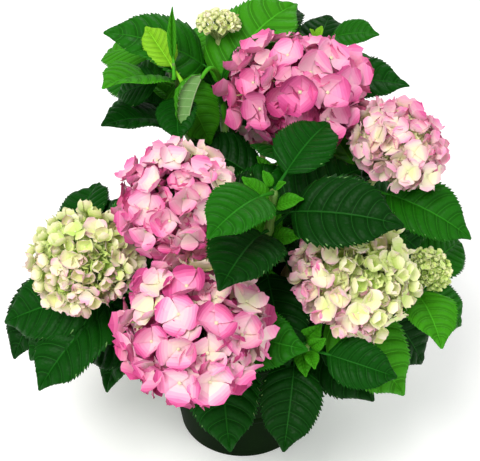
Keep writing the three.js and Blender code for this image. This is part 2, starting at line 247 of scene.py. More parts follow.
def midrib(pose, length, share, bend=BEND):
    """Points on the midrib and the upper face's directions there, for shares of the length."""
    share = np.asarray(share)[..., None]
    base = pose["root"] + pose["way"] * PETIOLE
    points = (
        base
        + pose["way"] * length * np.sin(bend * share) / bend
        - pose["face"] * length * (1 - np.cos(bend * share)) / bend
    )
    return points, pose["face"] * np.cos(bend * share) + pose["way"] * np.sin(bend * share)


CORNER_REACH = 0.6


def corner_finder(node):
    """Makes a test of whether a solid has a corner at a point given in millimetres."""
    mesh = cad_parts[node].data
    tree = KDTree(len(mesh.vertices))
    for vertex in mesh.vertices:
        tree.insert(vertex.co, vertex.index)
    tree.balance()
    return lambda point: tree.find(Vector(point * MM))[2] < CORNER_REACH * MM


def placed_leaves(shoot, row, stem, pairs):
    """Each leaf that the solids have, as (pair, twin, pose, length), in the pose they have it."""
    has_corner = corner_finder("leaves_" + shoot["name"])
    for pair, below in enumerate(pairs):
        for twin in (0, 1):
            length = leaf_length(shoot, row, pair, twin)
            for step in LEAF_TRIES:
                pose = leaf_pose(stem, shoot, row, pair, twin, below, step)
                if has_corner(midrib(pose, length, 1.0)[0]):
                    yield pair, twin, pose, length
                    break


# Mesh building

class Heap:
    """Gathers points and faces, each face with its finish, and makes one mesh piece of them."""

    def __init__(self):
        self.points, self.faces, self.finishes, self.count = [], [], [], 0

    def add(self, points, faces, finishes):
        self.points.append(np.asarray(points))
        self.faces.append(np.asarray(faces) + self.count)
        self.finishes.append(np.broadcast_to(finishes, len(faces)))
        self.count += len(points)

    def piece(self, name, materials, smooth=True):
        faces = np.concatenate(self.faces)
        corners = np.where(faces[:, 3] == faces[:, 2], 3, 4)
        loops = faces[np.arange(4) < corners[:, None]]
        mesh = bpy.data.meshes.new(name)
        mesh.vertices.add(self.count)
        places = np.concatenate(self.points) * MM
        mesh.vertices.foreach_set("co", places.astype(np.float32).ravel())
        mesh.loops.add(len(loops))
        mesh.loops.foreach_set("vertex_index", loops.astype(np.int32))
        mesh.polygons.add(len(faces))
        starts = np.concatenate([[0], corners.cumsum()[:-1]])
        mesh.polygons.foreach_set("loop_start", starts.astype(np.int32))
        finishes = np.concatenate(self.finishes)
        mesh.polygons.foreach_set("material_index", finishes.astype(np.int32))
        mesh.polygons.foreach_set("use_smooth", np.full(len(faces), smooth))
        mesh.update(calc_edges=True)
        for material in materials:
            mesh.materials.append(material)
        piece = bpy.data.objects.new(name, mesh)
        bpy.context.collection.objects.link(piece)
        return piece


def grid_faces(rows, columns, first=0, closed=False):
    """Quads over a grid of points, rows by columns, joined round where closed."""
    across = columns if closed else columns - 1
    row, column = np.meshgrid(np.arange(rows - 1), np.arange(across), indexing="ij")
    following = (column + 1) % columns
    corners = [row * columns + column, row * columns + following]
    corners += [(row + 1) * columns + following, (row + 1) * columns + column]
    return np.stack(corners, -1).reshape(-1, 4) + first


def fan_faces(middle, sides, first=0):
    """Triangles from a middle point to each two neighbours of a ring."""
    ring = first + np.arange(sides)
    following = np.roll(ring, -1)
    return np.stack([np.full(sides, middle), ring, following, following], -1)


def tube(heap, points, ways, side, radii, sides, finish_at, ends=True):
    """A round limb through points, with a radius for each ring or for each of its points, and the
    number of one finish for all of it or of one for each ring."""
    angles = np.arange(sides) * 2 * math.pi / sides
    side = side - ways * (ways @ side)[:, None]
    side /= np.linalg.norm(side, axis=1)[:, None]
    other = np.cross(ways, side)
    around = side[:, None] * np.cos(angles)[None, :, None]
    around = around + other[:, None] * np.sin(angles)[None, :, None]
    radii = np.asarray(radii)
    radii = radii[:, None] if radii.ndim == 1 else radii
    rings = points[:, None] + around * np.broadcast_to(radii, (len(points), sides))[..., None]
    faces = grid_faces(len(points), sides, closed=True)
    finish_along = np.broadcast_to(finish_at, len(points))
    finishes = np.repeat(finish_along[:-1], sides)
    corners = rings.reshape(-1, 3)
    if ends:
        count = len(corners)
        corners = np.vstack([corners, rings[0].mean(0), rings[-1].mean(0)])
        first = fan_faces(count, sides)[:, [0, 2, 1, 1]]
        last = fan_faces(count + 1, sides, count - sides)
        faces = np.concatenate([faces, first, last])
        finishes = np.concatenate([finishes, np.repeat(finish_along[[0, -1]], sides)])
    heap.add(corners, faces, finishes)


# Finishes

def tone(red, green, blue):
    """A colour as painters mix it, 0 to 255, in the light values that a shader takes."""
    parts = [part / 255 for part in (red, green, blue)]
    return [part / 12.92 if part <= 0.04045 else ((part + 0.055) / 1.055) ** 2.4 for part in parts] + [1]


def finish(name, colour, roughness, bump=0.0, grain=400.0, softness=0.0, sheen=0.0, shine=0.5):
    """A finish with a fine grain in its surface."""
    material = bpy.data.materials.new(name)
    material.use_nodes = True
    nodes, links = material.node_tree.nodes, material.node_tree.links
    shader = nodes["Principled BSDF"]
    shader.inputs["Base Color"].default_value = colour
    shader.inputs["Roughness"].default_value = roughness
    shader.inputs["Specular IOR Level"].default_value = shine
    shader.inputs["Sheen Weight"].default_value = sheen
    if softness:
        shader.inputs["Subsurface Weight"].default_value = softness
        shader.inputs["Subsurface Radius"].default_value = (0.004, 0.003, 0.002)
    if bump:
        place = nodes.new("ShaderNodeTexCoord")
        noise = nodes.new("ShaderNodeTexNoise")
        relief = nodes.new("ShaderNodeBump")
        noise.inputs["Scale"].default_value = grain
        noise.inputs["Detail"].default_value = 3
        relief.inputs["Strength"].default_value = bump
        relief.inputs["Distance"].default_value = 0.001
        links.new(place.outputs["Object"], noise.inputs["Vector"])
        links.new(noise.outputs["Fac"], relief.inputs["Height"])
        links.new(relief.outputs["Normal"], shader.inputs["Normal"])
    return material


def net_veined(material):
    """Adds the fine net of small veins that quilts a leaf's surface between its side veins."""
    nodes, links = material.node_tree.nodes, material.node_tree.links
    place = nodes.new("ShaderNodeTexCoord")
    cells = nodes.new("ShaderNodeTexVoronoi")
    cells.feature = "SMOOTH_F1"
    cells.inputs["Scale"].default_value = 330
    cells.inputs["Smoothness"].default_value = 0.35
    relief = nodes.new("ShaderNodeBump")
    relief.invert = True
    relief.inputs["Strength"].default_value = 0.4
    relief.inputs["Distance"].default_value = 0.001
    links.new(place.outputs["Object"], cells.inputs["Vector"])
    links.new(cells.outputs["Distance"], relief.inputs["Height"])
    links.new(relief.outputs["Normal"], nodes["Principled BSDF"].inputs["Normal"])
    return material


# Leaf tones from old to young. Each has three finishes: the blade, its veins and a darker green for
# the rows beside the side veins, painted shade in the valleys of the blade. The pale underside and its
# veins come last.
LEAF_GREENS = [(6, 52, 4), (10, 68, 6), (26, 96, 10), (56, 136, 18), (126, 186, 36)]
VEIN_PALER = np.array([16, 27, 14])
# How much darker the valley green is than the blade: painted shade.
PAINTED_VALLEY_SHADE = 0.88
leaf_finishes = []
for number, blade in enumerate(LEAF_GREENS):
    vein = np.array(blade) + VEIN_PALER
    shaded_valley = np.array(blade) * PAINTED_VALLEY_SHADE
    leaf_finishes += [
        net_veined(finish(f"leaf_green_{number}", tone(*blade), 0.44, shine=0.07)),
        finish(f"leaf_vein_{number}", tone(*vein), 0.5, bump=0.15, grain=700, shine=0.07),
        net_veined(finish(f"leaf_valley_shade_{number}", tone(*shaded_valley), 0.5, shine=0.05)),
    ]
UNDERSIDE = len(leaf_finishes)
leaf_finishes += [
    net_veined(finish("leaf_underside", tone(112, 158, 88), 0.65, shine=0.1)),
    finish("underside_vein", tone(172, 204, 146), 0.6, bump=0.15, grain=700, shine=0.1),
]

# Sepal tones from lime through cream to deep pink, with shades mixed between each two.
SEPAL_TONES = [
    (190, 222, 104), (212, 230, 136), (230, 234, 172), (240, 233, 196), (241, 217, 206),
    (240, 194, 205), (240, 168, 195), (238, 142, 186), (229, 108, 166), (214, 78, 146), (186, 52, 120),
]
SHADES = 3
sepal_finishes = [
    finish(f"sepal_{number}", tone(*colour), 0.6, bump=0.12, grain=900, softness=0.12, sheen=0.15)
    for number, colour in enumerate(
        np.array(low) + (np.array(high) - low) * step / SHADES
        for low, high in zip(SEPAL_TONES, SEPAL_TONES[1:] + SEPAL_TONES[-1:])
        for step in range(SHADES)
    )
]
PEDICEL = len(sepal_finishes)
sepal_finishes.append(finish("flower_stalk", tone(176, 190, 120), 0.6, bump=0.2, grain=500))
EYE = len(sepal_finishes)
sepal_finishes.append(finish("floret_eye", tone(226, 220, 178), 0.45, bump=0.2, grain=1500))

stem_finishes = [
    finish("young_stem", tone(92, 132, 52), 0.5, bump=0.3, grain=500),
    finish("ripening_stem", tone(122, 120, 66), 0.62, bump=0.5, grain=420),
    finish("old_cane", tone(128, 102, 72), 0.78, bump=0.8, grain=360),
]


# Leaf blades

VEINS = 7
VEIN_WIDTH = 0.005
BLADE_LEAST = 0.9
ACROSS = np.array([0, 0.024, 0.2, 0.38, 0.56, 0.74, 0.89, 1.0])


def blade_rows():
    """Where the rows of a blade set off from the midrib, and which of them are a vein's two sides."""
    starts = np.linspace(0.05, 0.83, VEINS) ** 1.05
    rows, of_vein = [0.0, 0.02], [False, False]
    for number, start in enumerate(starts):
        following = starts[number + 1] if number + 1 < VEINS else 0.97
        gap = following - start - VEIN_WIDTH
        parts = [start + VEIN_WIDTH + gap * part for part in (0.2, 0.4, 0.6, 0.8)]
        rows += [start, start + VEIN_WIDTH] + parts
        of_vein += [True] + [False] * 5
    return np.array(rows + [0.97, 1.0]), np.array(of_vein + [False, False])


ROW_STARTS, VEIN_ROWS = blade_rows()


def blade_pattern():
    """Half a blade as a grid: each point's share of the length, of the width, and its puff."""
    start = ROW_STARTS[:, None]
    across = ACROSS[None, :]
    sweep = 0.4 * start / (start + 0.07) * (1 - start) ** 0.9
    share = start + sweep * (0.5 * across + 0.5 * across**2.6)
    between = np.zeros(len(ROW_STARTS))
    firsts = np.flatnonzero(VEIN_ROWS)
    for first in firsts:
        between[first + 2 : first + 6] = [0.65, 1.0, 1.0, 0.65]
    puff = between[:, None] * np.sin(math.pi * np.clip(across, 0, 1)) ** 0.7
    tooth = np.where(np.arange(len(ROW_STARTS)) % 2 == 0, 1.0, -1.0)
    tooth[:3] = tooth[-2:] = 0
    return np.minimum(share, 1), np.broadcast_to(across, share.shape), puff, tooth


SHARE, WIDTH, PUFF, TOOTH = blade_pattern()


def add_blade(
    heap, pose, length, green, keys, width_share=WIDTH_SHARE, bend=BEND, fold=FOLD, thickness=0.5
):
    """A leaf blade: toothed, puffed between its veins, with a paler midrib and side veins."""
    rows, columns = SHARE.shape
    share = np.hstack([SHARE[:, :0:-1], SHARE])
    width = np.hstack([-WIDTH[:, :0:-1], WIDTH])
    puff = np.hstack([PUFF[:, :0:-1], PUFF])
    edge = np.abs(width) == 1
    share = np.clip(share + edge * (0.004 + TOOTH[:, None] * 0.012), 0, 1)
    toothed = 1 + 0.05 * edge * TOOTH[:, None]
    half = length * width_share * outline(share) * toothed + BLADE_LEAST
    lateral = width * half
    phase = 6.28 * chance(*keys, 11)
    wave = 0.016 * length * np.sin(9 * share + phase) * width**2 * np.sign(width + 1e-9)
    wave += 0.012 * length * np.sin(15 * share + 2 * phase) * width**2
    rise = np.abs(lateral) * math.sin(fold) * (1.5 - 0.95 * np.abs(width) ** 1.2)
    rise += puff * length * 0.02 + wave * np.clip(half / (0.1 * length), 0, 1)
    middle, face = midrib(pose, length, share, bend)
    top = middle + pose["left"] * (lateral * math.cos(fold))[..., None] + face * rise[..., None]
    below = top - face * thickness
    points = np.concatenate([top.reshape(-1, 3), below.reshape(-1, 3)])
    across = 2 * columns - 1
    upper = grid_faces(rows, across)[:, ::-1]
    veins = np.flatnonzero(VEIN_ROWS)
    kinds = np.zeros((rows - 1, across - 1), int)
    # The rows beside each side vein get the darker valley green: painted shade in the blade's valleys.
    kinds[np.concatenate([veins + 1, veins - 1])] = 2
    kinds[veins] = 1
    kinds[:, columns - 2 : columns] = 1
    finishes = green * 3 + kinds.ravel()
    heap.add(points, upper, finishes)
    total = rows * across
    under = grid_faces(rows, across, total)
    loop = np.concatenate([
        np.arange(across), np.arange(2, rows + 1) * across - 1,
        np.arange(total - 2, total - across - 1, -1), np.arange(rows - 2, 0, -1) * across,
    ])
    following = np.roll(loop, -1)
    rim = np.stack([loop, following, following + total, loop + total], -1)
    heap.faces.append(under + heap.count - 2 * total)
    heap.finishes.append(UNDERSIDE + (kinds.ravel() == 1))
    heap.faces.append(rim + heap.count - 2 * total)
    heap.finishes.append(np.full(len(rim), green * 3 + 1))


def add_petiole(heap, pose, green):
    """The short stalk of a leaf, from its stem into the blade's midrib."""
    reach = np.array([0.1, 0.35, 0.7, 1.0, 1.18])
    points = pose["root"] + pose["way"] * PETIOLE * reach[:, None]
    ways = np.repeat(pose["way"][None], len(reach), 0)
    radii = np.array([2.4, 1.7, 1.4, 1.3, 0.7])
    tube(heap, points, ways, pose["left"], radii, 7, green * 3 + 1)


def leaf_green(name, row, pair, twin):
    """Which green a leaf has: darker the older it is."""
    age = pair + spread(1.1, row, pair, twin, 12) - YOUTH.get(name, 0)
    return int(np.clip(round(1.3 - age), 0, 4))


def young_leaves(heap, stem, shoot, row, below, size, green, turn, lift):
    """A pair of small folded leaves, as they stand at a stem's tip or in the angle of a leaf."""
    for twin in (0, 1):
        pose = leaf_pose(stem, dict(shoot, turn=turn, lift=lift), row, 0, twin, below, (0, 0))
        length = size * (1 + spread(0.15, row, twin, round(below), 13))
        pose["root"] = pose["root"] - pose["way"] * (PETIOLE - YOUNG_PETIOLE)
        add_blade(heap, pose, length, green, (row, twin, round(below)), **YOUNG_LEAF)


def single_leaves(heap, stem, shoot, row, leaves):
    """Leaves that stand alone, on side buds that have begun to grow."""
    for number, (below, turn, lift, length, green, kind) in enumerate(leaves):
        pose = leaf_pose(stem, dict(shoot, turn=turn, lift=lift), row, 0, 0, below, (0, 0))
        if kind != "open":
            pose["root"] = pose["root"] - pose["way"] * (PETIOLE - YOUNG_PETIOLE)
        add_blade(heap, pose, length, green, (row, number, 31), **LEAF_KINDS[kind])
        add_petiole(heap, pose, green)


def add_arched_leaf(heap, stem, leaf, keys):
    """A leaf on a long stalk that arches from its stem, set by where its blade starts and ends."""
    foot = place_on(stem, leaf["below"])[0]
    knee, tip, opens = (np.array(leaf[part], float) for part in ("knee", "tip", "opens"))
    chord = unit(tip - knee)
    over = unit(opens - chord * opens.dot(chord))
    half = math.radians(leaf["bend"] / 2)
    way = chord * math.cos(half) + over * math.sin(half)
    face = over * math.cos(half) - chord * math.sin(half)
    length = np.linalg.norm(tip - knee) * half / math.sin(half)
    pose = dict(root=knee - way * PETIOLE, way=way, face=face, left=np.cross(face, way))
    add_blade(heap, pose, length, leaf["green"], keys, **dict(LEAF_KINDS[leaf["kind"]], bend=2 * half))
    span = np.linalg.norm(knee - foot)
    bends = [foot, foot + UP * span * 0.45, knee - way * span * 0.3, knee + way * 4]
    points = np.array([bezier(bends, step / 14) for step in range(15)])
    ways = np.gradient(points, axis=0)
    ways /= np.linalg.norm(ways, axis=1)[:, None]
    radii = np.linspace(3.2, 1.7, len(points))
    tube(heap, points, ways, np.array([1.0, 0.2, 0.3]), radii, 8, leaf["green"] * 3 + 1)


def dress_leaves(shoot, row, stem):
    """The leafy part of a stem: its leaves, their stalks and the young pairs between them."""
    pairs, _ = stretches(shoot, stem)
    heap = Heap()
    for pair, twin, pose, length in placed_leaves(shoot, row, stem, pairs):
        green = leaf_green(shoot["name"], row, pair, twin)
        add_blade(heap, pose, length, green, (row, pair, twin))
        add_petiole(heap, pose, green)
    single_leaves(heap, stem, shoot, row, SIDE_LEAVES.get(shoot["name"], []))
    if shoot["name"] == SIDE_SHOOT["on"]:
        single_leaves(heap, side_shoot_line(stem), shoot, row, SIDE_SHOOT["leaves"])
    for number, leaf in enumerate(ARCHED_LEAVES):
        if shoot["name"] == leaf["on"]:
            add_arched_leaf(heap, stem, leaf, (row, number, 41))
    if not shoot["head"]:
        size, green = TIP_LEAVES[shoot["name"]]
        turn = shoot["turn"] + TIP_PAIR["turn"]
        young_leaves(heap, stem, shoot, row, TIP_PAIR["below"], size, green, turn, TIP_PAIR["lift"])
    for pair, below in enumerate(pairs[1:], 1):
        if chance(row, pair, 14) < ANGLE_PAIR["chance"]:
            above = below - ANGLE_PAIR["above"]
            size = ANGLE_PAIR["size"] + ANGLE_PAIR["growth"] * chance(row, pair, 15)
            turn = shoot["turn"] + 90 * pair + ANGLE_PAIR["turn"]
            green, lift = ANGLE_PAIR["green"], ANGLE_PAIR["lift"]
            young_leaves(heap, stem, shoot, row, above, size, green, turn, lift)
    piece = heap.piece("foliage_" + shoot["name"], leaf_finishes)
    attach(piece, "root")
    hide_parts("leaves_" + shoot["name"])


def dress_stem(shoot, row, stem):
    """A whole stem: ridged brown wood below, smooth and green above, thicker at its leaf pairs."""
    pairs, neck = stretches(shoot, stem)
    heap = Heap()
    below = np.arange(stem["length"], neck, -3.0)
    places = [place_on(stem, distance) for distance in below]
    points = np.array([place[0] for place in places])
    ways = np.array([place[1] for place in places])
    share = np.array([place[4] for place in places])
    radii = STEM["foot_radius"] + (STEM["tip_radius"] - STEM["foot_radius"]) * share
    swell = sum(np.exp(-(((below - pair) / 5.0) ** 2)) for pair in pairs)
    age = np.clip(1.25 - 1.6 * share, 0, 1)
    sides = 12
    ridges = np.array([
        [spread(1, row, ring // 3, facet, 16) for facet in range(sides)] for ring in range(len(below))
    ])
    relief = 1 + 0.22 * swell[:, None] + ridges * (0.02 + 0.1 * age[:, None])
    relief[0] *= 1.25
    if not shoot["head"]:
        relief *= np.clip((below[:, None] + 1.5) / 7, 0.25, 1) ** 0.5
    stage = np.where(age > 0.66, 2, np.where(age > 0.25, 1, 0))
    side = places[0][2]
    tube(heap, points, ways, side, radii[:, None] * relief, sides, stage)
    if shoot["name"] == SIDE_SHOOT["on"]:
        add_side_shoot(heap, side_shoot_line(stem))
    piece = heap.piece("cane_" + shoot["name"], stem_finishes)
    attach(piece, "root")
    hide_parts("stem_" + shoot["name"])


def add_side_shoot(heap, line):
    """The young shoot's thin green stem."""
    places = [place_on(line, below) for below in np.linspace(line["length"], 0, 20)]
    points = np.array([place[0] for place in places])
    ways = np.array([place[1] for place in places])
    radii = np.linspace(SIDE_SHOOT["foot_radius"], SIDE_SHOOT["tip_radius"], len(points))
    tube(heap, points, ways, places[0][2], radii, 8, 0)


# Flower heads

HEAD = dict(bud_radius=30, squash=0.86, underside=0.64, stray=0.14, core=0.66, stalks=24)
# The young head that is still flat: its squash and how low its florets go.
FLAT_HEAD = dict(name="back_bud", squash=0.42, lowest=-0.1)
# Florets: how deep in the head's radius they sit, over a cell or lower in a crease, how far they
# stray and tilt, and their size in the room of a cell.
FLORET = dict(
    depth=0.9, low_depth=0.77, stray=0.07, tilt=0.5, nod=0.38,
    open_size=0.58, cupped_size=0.56, varied=0.16, low_size=0.88,
)
# The five sides of a cube that a head's florets cover, each as its normal, right and up. The stem
# comes in through the sixth.
CUBE_SIDES = np.array([
    [[0, 0, 1], [1, 0, 0], [0, 1, 0]],
    [[1, 0, 0], [0, 1, 0], [0, 0, 1]],
    [[-1, 0, 0], [0, 0, 1], [0, 1, 0]],
    [[0, 1, 0], [0, 0, 1], [1, 0, 0]],
    [[0, -1, 0], [1, 0, 0], [0, 0, 1]],
], float)


def floret_spots(across, row):
    """Ways from a head's middle to its florets: one over each cell, then one over each corner."""
    corners = {}
    middles = []
    for normal, right, up in CUBE_SIDES:
        for cell in range(across * across):
            column, line = cell % across, cell // across
            around = []
            for x, y in ((0, 0), (1, 0), (1, 1), (0, 1)):
                even = unit(
                    normal
                    + right * math.tan(math.pi / 4 * (2 * (column + x) / across - 1))
                    + up * math.tan(math.pi / 4 * (2 * (line + y) / across - 1))
                )
                key = tuple(int(math.floor(1000 * part + 0.5)) for part in even)
                stray = np.array([spread(HEAD["stray"], row, axis, *key) for axis in range(3)])
                corners[tuple(part // 3 for part in key)] = unit(even + stray)
                around.append(unit(even + stray))
            middles.append(unit(sum(around)))
    return middles, list(corners.values())


SEPAL_ALONG = np.array([0.04, 0.22, 0.4, 0.56, 0.7, 0.83, 0.94, 1.03])
SEPAL_HALF = np.array([0.07, 0.28, 0.46, 0.57, 0.59, 0.5, 0.31, 0.05])
SEPAL_FACES = 2 * (len(SEPAL_ALONG) - 1)
EYE_POINTS = np.array([
    [0.1, 0, 0.07], [0, 0.1, 0.07], [-0.1, 0, 0.07], [0, -0.1, 0.07], [0, 0, 0.19],
])
STALK_POINTS = np.array([
    [0.05, 0, 0.04], [-0.03, 0.04, 0.04], [-0.03, -0.04, 0.04],
    [0.03, 0, -1], [-0.02, 0.02, -1], [-0.02, -0.02, -1],
])
EYE_BAND, STALK_BAND = 20, 21


def sepal(cup, ruffle, lap, keys):
    """One sepal of a floret about +Z, from its claw out along +X: three points to a cross-section."""
    across = np.array([-1.0, 0.0, 1.0])
    rings = len(SEPAL_ALONG)
    spots = [(ring, spot) for ring in range(rings) for spot in range(3)]
    wave, teeth = (
        np.array([spread(reach, *keys, *at, key) for at in spots]).reshape(rings, 3)
        for reach, key in ((ruffle, 3), (0.14, 5))
    )
    ahead = SEPAL_ALONG[:, None]
    x = ahead + 0.05 * np.sin(math.pi * ahead).clip(0) * (1 - np.abs(across))
    angle = cup * x**1.2
    half = SEPAL_HALF[:, None] * across * (1 + teeth * x)
    hollow = (0.16 + 0.3 * max(cup, 0)) * half**2
    y = half * (1 - 0.2 * max(cup, 0) * x)
    out = x * np.cos(angle) - hollow * np.sin(angle)
    rise = x * np.sin(angle) + hollow * np.cos(angle) + wave * x**1.5 + lap
    return out, y, rise


def floret_shape(cup, fold, ruffle, keys):
    """A floret of radius 1 about +Z: four broad sepals, the round eye and a stalk, with each face's
    band from the heart out. fold closes one pair of sepals over the other."""
    points, faces, bands = [], [], []
    corners = 3 * len(SEPAL_ALONG)
    for number in range(4):
        turn = number * math.pi / 2 + spread(0.12, *keys, number, 1)
        size = 1 + spread(0.1, *keys, number, 2)
        lifted = cup + (fold if number % 2 else -0.35 * fold) + spread(0.12, *keys, number, 4)
        parts = sepal(lifted, ruffle, 0.05 * (number % 2), (*keys, number))
        out, y, rise = (size * part for part in parts)
        turned_x = out * math.cos(turn) - y * math.sin(turn)
        turned_y = out * math.sin(turn) + y * math.cos(turn)
        points.append(np.stack([turned_x, turned_y, rise], -1).reshape(-1, 3))
        faces.append(grid_faces(len(SEPAL_ALONG), 3, number * corners)[:, ::-1])
        bands.append(np.repeat(np.arange(len(SEPAL_ALONG) - 1.0), 2))
    first = 4 * corners
    eye = [[first + k, first + (k + 1) % 4, first + 4, first + 4] for k in range(4)]
    top = first + len(EYE_POINTS)
    foot = top + 3
    stalk = [[foot + k, foot + (k + 1) % 3, top + (k + 1) % 3, top + k] for k in range(3)]
    points = np.concatenate(points + [EYE_POINTS, STALK_POINTS])
    faces = np.concatenate(faces + [np.array(eye), np.array(stalk)])
    bands += [np.full(len(eye), EYE_BAND), np.full(len(stalk), STALK_BAND)]
    return points, faces, np.concatenate(bands)


FLORETS = [
    floret_shape(cup, fold, ruffle, (number,))
    for number, (cup, fold, ruffle) in enumerate([
        (0.15, 0.0, 0.09), (0.3, 0.15, 0.1), (0.4, 0.3, 0.09), (0.35, 0.45, 0.1),
        (0.55, 0.1, 0.1), (0.25, 0.35, 0.11), (0.65, 0.25, 0.08), (0.5, 0.5, 0.08),
        (0.9, 0.2, 0.05), (1.1, 0.1, 0.04), (0.85, 0.35, 0.06), (1.25, 0.0, 0.04),
    ])
]
OPEN, CUPPED = (0, 8), (8, 12)

# For each head: cells across one side, how open its florets are, the tone at their edges and at
# their hearts, the way its colour deepens and by how much, and how much its florets differ.
BLOOM_KEYS = "across open edge heart way deepen mixed".split()
BLOOMS = {
    "crown_pink": (3, 1.0, 9.2, 5.8, (-0.3, -0.4, -0.8), 1.1, 1.0),
    "right_blush": (3, 0.9, 6.3, 3.0, (0.5, 0.1, 0.8), 1.4, 1.1),
    "left_pink": (3, 1.0, 7.9, 4.4, (-0.9, -0.4, -0.5), 2.3, 1.2),
    "left_green": (4, 0.25, 3.9, 1.2, (0.3, -0.8, -0.5), 1.0, 0.9),
    "front_pink": (3, 1.0, 9.0, 4.3, (-0.6, -0.3, -0.8), 2.2, 2.7),
    "right_cream": (4, 0.5, 5.0, 1.9, (-0.8, -0.1, -0.5), 2.0, 1.1),
    "right_bud": (4, 0.15, 1.7, 0.6, (0, 0, 1), 0.6, 0.6),
    "back_bud": (3, 0.0, 2.6, 1.2, (0, 0, 1), 0.4, 0.4),
    "back_pink": (3, 1.0, 8.6, 4.6, (0.3, 0.8, 0.3), 1.2, 0.7),
    "back_left_pink": (3, 1.0, 7.6, 3.4, (-0.3, 0.8, -0.3), 1.2, 1.0),
    "back_right_cream": (4, 0.5, 5.0, 2.0, (0.8, 0.3, -0.5), 1.4, 0.9),
    "far_left_green": (4, 0.3, 4.0, 1.5, (-0.6, 0.5, -0.4), 0.8, 0.8),
}
BLOOMS = {name: dict(zip(BLOOM_KEYS, row)) for name, row in BLOOMS.items()}


def along(axes, amounts):
    """A step of three amounts along a head's three directions: out, to the side and up its stem."""
    return axes[0] * amounts[0] + axes[1] * amounts[1] + axes[2] * amounts[2]


def flattened(spot, squash):
    """A spot on a ball, brought in by squash above the middle and as a head's underside below."""
    return spot * np.array([1, 1, squash if spot[2] > 0 else HEAD["underside"]])


def add_floret(heap, centre, facing, radius, shape, spin, edge, heart, keys):
    """One floret at its place on a head, its sepals shaded from their heart to their edge."""
    points, faces, bands = shape
    side = unit(np.cross(facing, UP if abs(facing[2]) < 0.9 else np.array([1.0, 0, 0])))
    other = np.cross(facing, side)
    first = side * math.cos(spin) + other * math.sin(spin)
    second = np.cross(facing, first)
    x, y, z = points[:, :1], points[:, 1:2], points[:, 2:]
    placed = centre + radius * (x * first + y * second + z * facing)
    number = np.arange(len(bands))
    # The outermost band is a little paler: a painted highlight along the sepals' rims.
    shade = heart + (edge - heart) * (np.minimum(bands, 6) / 5.7) ** 1.4 - 0.5 * (bands == 6)
    shade = shade + spread(0.3, *keys, 4) + 0.4 * np.sin(number // SEPAL_FACES * 2.1 + keys[1])
    shade = shade + 0.16 * np.sin(number * 5.3 + keys[1])
    tones = np.clip(np.round(shade * SHADES), 0, PEDICEL - SHADES).astype(int)
    tones[bands == EYE_BAND] = EYE
    tones[bands == STALK_BAND] = PEDICEL
    heap.add(placed, faces, tones)


def dress_head(shoot, row, stem):
    """A flower head: florets over each cell of the solid, and smaller ones down in its creases."""
    bloom = BLOOMS[shoot["name"]]
    centre, way, side, out, _ = place_on(stem, 0)
    axes = (out, side, way)
    radius = shoot["head"]
    heap = Heap()
    middles, corners = floret_spots(bloom["across"], row)
    room = radius * math.pi / 2 / bloom["across"]
    deepen = unit(np.array(bloom["way"], float))
    flat = shoot["name"] == FLAT_HEAD["name"]
    squash = FLAT_HEAD["squash"] if flat else HEAD["squash"]
    for number, spot in enumerate(middles + corners):
        if flat and spot[2] < FLAT_HEAD["lowest"]:
            continue
        keys = (row, number)
        lower = number >= len(middles)
        depth = FLORET["low_depth" if lower else "depth"] + spread(FLORET["stray"], *keys, 5)
        place = centre + radius * depth * along(axes, flattened(spot, squash))
        reaches = (FLORET["tilt"], FLORET["tilt"], FLORET["nod"])
        tilts = [spread(reach, *keys, key) for key, reach in enumerate(reaches, 6)]
        facing = unit(unit(along(axes, spot)) + along(axes, tilts))
        is_open = chance(*keys, 9) < bloom["open"]
        first, last = OPEN if is_open else CUPPED
        shape = FLORETS[first + int(chance(*keys, 10) * (last - first))]
        size = room * FLORET["open_size" if is_open else "cupped_size"]
        size = size * (1 + spread(FLORET["varied"], *keys, 11)) * (FLORET["low_size"] if lower else 1)
        deeper = bloom["deepen"] * float(facing @ deepen)
        deeper += 1.7 * bloom["mixed"] * spread(1, *keys, 12) ** 3
        edge, heart = bloom["edge"] + deeper, bloom["heart"] + 0.6 * deeper
        spin = 6.283 * chance(*keys, 13)
        add_floret(heap, place, facing, size, shape, spin, edge, heart, keys)
    for spot in middles[:: 1 if flat else max(1, len(middles) // HEAD["stalks"])]:
        if flat and spot[2] < FLAT_HEAD["lowest"]:
            continue
        tip = centre + radius * (0.86 if flat else 0.72) * along(axes, flattened(spot, squash))
        start = centre - way * radius * (0.9 if flat else 0.5)
        ways = np.repeat(unit(tip - start)[None], 2, 0)
        across = np.cross(ways[0], UP) + side * 0.01
        radii = np.array([1.6, 0.9]) * (0.6 if flat else 1)
        tube(heap, np.array([start, tip]), ways, across, radii, 4, PEDICEL, False)
    if not flat:
        add_core(heap, centre, axes, radius * HEAD["core"], bloom)
    add_peduncle(heap, stem, shoot)
    piece = heap.piece("sepals_" + shoot["name"], sepal_finishes)
    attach(piece, "root")
    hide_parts("flower_" + shoot["name"])


def add_core(heap, centre, axes, radius, bloom):
    """The shaded inside of a head, packed with the small fertile flowers."""
    middles, corners = floret_spots(4, 77)
    shape = FLORETS[9]
    # In pink heads the core florets take a tone deeper than the edges, painted shade for the inside of
    # the head; in the others they take the heart's tone.
    edge = bloom["edge"] + 1 if bloom["edge"] > 7 else bloom["heart"]
    for number, spot in enumerate(middles + corners):
        place = centre + radius * along(axes, flattened(spot, HEAD["squash"]))
        facing = unit(along(axes, spot))
        spin = chance(number, 14) * 6.283
        add_floret(heap, place, facing, radius * 0.3, shape, spin, edge, edge - 1, (number, 15))


def add_peduncle(heap, stem, shoot):
    """The stalk of a flower head, from above the highest leaves into the head."""
    _, neck = stretches(shoot, stem)
    below = np.linspace(neck + 4, shoot["head"] * 0.35, 8)
    places = [place_on(stem, distance) for distance in below]
    points = np.array([place[0] for place in places])
    ways = np.array([place[1] for place in places])
    tube(heap, points, ways, places[0][2], np.linspace(3.4, 2.9, len(points)), 10, PEDICEL)


# Pot

